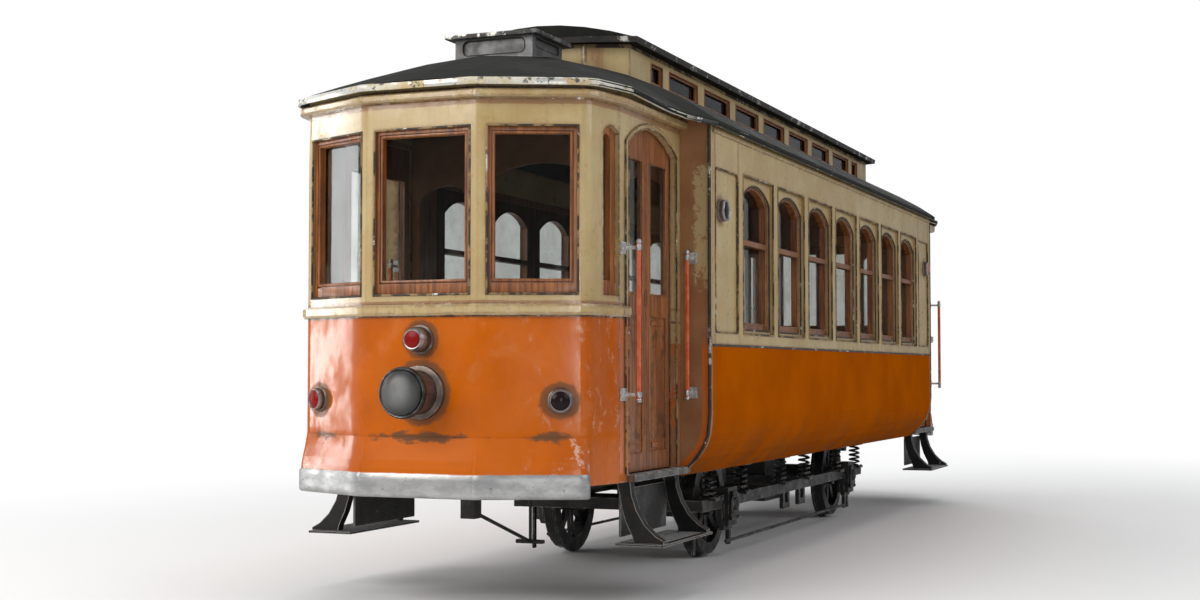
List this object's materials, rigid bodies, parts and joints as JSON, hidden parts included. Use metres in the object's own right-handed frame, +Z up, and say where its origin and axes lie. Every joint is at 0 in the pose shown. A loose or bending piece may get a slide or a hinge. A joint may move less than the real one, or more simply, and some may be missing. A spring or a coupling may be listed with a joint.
{
  "type": "four-wheel electric tram",
  "caption": "Double-ended four-wheel electric tram with a clerestory roof, arched windows, folding platform doors and open steps; wheelsets turn and doors fold.",
  "frame": {"origin": "on the ground, below the middle of the car", "axes": "+Z up, +Y along the car towards the rear platform, +X to the side with the pictured doorway"},
  "size_m": [2.4, 10.51, 3.5183],
  "materials": {
    "orange_paint": "glossy, scratched and chipped enamel over brown primer",
    "cream_paint": "glossy cream enamel with rust and scuffed edges",
    "brown_paint": "worn brown primer with patches of cream",
    "varnished_wood": "varnished hardwood, semi-gloss",
    "roof_canvas": "painted roof canvas, matt dark grey",
    "grey_metal": "bare and painted steel, scuffed",
    "dark_iron": "oily dark iron",
    "black_cast": "black painted castings with worn edges",
    "window_glass": "clear window glass with dust",
    "lamp_metal": "dulled lamp metal",
    "rail_paint": "orange-red painted steel with bright brackets"
  },
  "bodies": {
    "car": {"bulkhead_front": "brown_paint", "dash_front": "orange_paint", "headlight_front": "lamp_metal", "sign_box_front": "grey_metal", "skirt_front": "orange_paint", "platform_floor_front": "dark_iron", "platform_band_front": "cream_paint", "platform_lining_front": "varnished_wood", "platform_glass_front": "window_glass", "platform_controls_front": "black_cast", "bulkhead_rear": "brown_paint", "dash_rear": "orange_paint", "headlight_rear": "lamp_metal", "sign_box_rear": "grey_metal", "skirt_rear": "orange_paint", "platform_floor_rear": "dark_iron", "platform_band_rear": "cream_paint", "platform_lining_rear": "varnished_wood", "platform_glass_rear": "window_glass", "platform_controls_rear": "black_cast", "side_panel_right": "orange_paint", "window_band_right": "cream_paint", "sash_lining_right": "varnished_wood", "bench_right": "varnished_wood", "saloon_glass_right": "window_glass", "clerestory_glass_right": "window_glass", "side_panel_left": "orange_paint", "window_band_left": "cream_paint", "sash_lining_left": "varnished_wood", "bench_left": "varnished_wood", "saloon_glass_left": "window_glass", "clerestory_glass_left": "window_glass", "underframe": "dark_iron", "truck_frame": "dark_iron", "main_roof": "roof_canvas", "clerestory_roof": "roof_canvas", "clerestory": "cream_paint", "step_front_right": "black_cast", "door_surround_front_right": "cream_paint", "bulkhead_rail_front_right": "rail_paint", "step_front_left": "black_cast", "door_surround_front_left": "cream_paint", "bulkhead_rail_front_left": "rail_paint", "step_rear_right": "black_cast", "door_surround_rear_right": "cream_paint", "bulkhead_rail_rear_right": "rail_paint", "step_rear_left": "black_cast", "door_surround_rear_left": "cream_paint", "bulkhead_rail_rear_left": "rail_paint"},
    "wheelset_front": {"wheelset_front": "dark_iron"},
    "wheelset_rear": {"wheelset_rear": "dark_iron"},
    "door_hung_front_right": {"door_leaf_hung_front_right": "varnished_wood"},
    "door_folding_front_right": {"door_leaf_folding_front_right": "varnished_wood"},
    "door_hung_front_left": {"door_leaf_hung_front_left": "varnished_wood"},
    "door_folding_front_left": {"door_leaf_folding_front_left": "varnished_wood"},
    "door_hung_rear_right": {"door_leaf_hung_rear_right": "varnished_wood"},
    "door_folding_rear_right": {"door_leaf_folding_rear_right": "varnished_wood"},
    "door_hung_rear_left": {"door_leaf_hung_rear_left": "varnished_wood"},
    "door_folding_rear_left": {"door_leaf_folding_rear_left": "varnished_wood"}
  },
  "joints": [
    {"name": "wheelset_front_turn", "type": "hinge", "parent": "car", "child": "wheelset_front", "pos_m": [0, -1.7475, 0.375], "axis": [1, 0, 0], "continuous": true},
    {"name": "wheelset_rear_turn", "type": "hinge", "parent": "car", "child": "wheelset_rear", "pos_m": [0, 1.7475, 0.375], "axis": [1, 0, 0], "continuous": true},
    {"name": "door_hung_front_right_swing", "type": "hinge", "parent": "car", "child": "door_hung_front_right", "pos_m": [0.884, -3.535, 0.745], "axis": [0, 0, -1], "range_deg": [0, 85]},
    {"name": "door_folding_front_right_fold", "type": "hinge", "parent": "door_hung_front_right", "child": "door_folding_front_right", "pos_m": [0.918, -3.928, 0.745], "axis": [0, 0, 1], "range_deg": [0, 170]},
    {"name": "door_hung_front_left_swing", "type": "hinge", "parent": "car", "child": "door_hung_front_left", "pos_m": [-0.884, -3.535, 0.745], "axis": [0, 0, 1], "range_deg": [0, 85]},
    {"name": "door_folding_front_left_fold", "type": "hinge", "parent": "door_hung_front_left", "child": "door_folding_front_left", "pos_m": [-0.918, -3.928, 0.745], "axis": [0, 0, -1], "range_deg": [0, 170]},
    {"name": "door_hung_rear_right_swing", "type": "hinge", "parent": "car", "child": "door_hung_rear_right", "pos_m": [0.884, 3.535, 0.745], "axis": [0, 0, 1], "range_deg": [0, 85]},
    {"name": "door_folding_rear_right_fold", "type": "hinge", "parent": "door_hung_rear_right", "child": "door_folding_rear_right", "pos_m": [0.918, 3.928, 0.745], "axis": [0, 0, -1], "range_deg": [0, 170]},
    {"name": "door_hung_rear_left_swing", "type": "hinge", "parent": "car", "child": "door_hung_rear_left", "pos_m": [-0.884, 3.535, 0.745], "axis": [0, 0, -1], "range_deg": [0, 85]},
    {"name": "door_folding_rear_left_fold", "type": "hinge", "parent": "door_hung_rear_left", "child": "door_folding_rear_left", "pos_m": [-0.918, 3.928, 0.745], "axis": [0, 0, 1], "range_deg": [0, 170]}
  ],
  "couplings": [
    {"joint": "door_folding_front_right_fold", "follows": "door_hung_front_right_swing", "ratio": 2},
    {"joint": "door_folding_front_left_fold", "follows": "door_hung_front_left_swing", "ratio": 2},
    {"joint": "door_folding_rear_right_fold", "follows": "door_hung_rear_right_swing", "ratio": 2},
    {"joint": "door_folding_rear_left_fold", "follows": "door_hung_rear_left_swing", "ratio": 2}
  ]
}
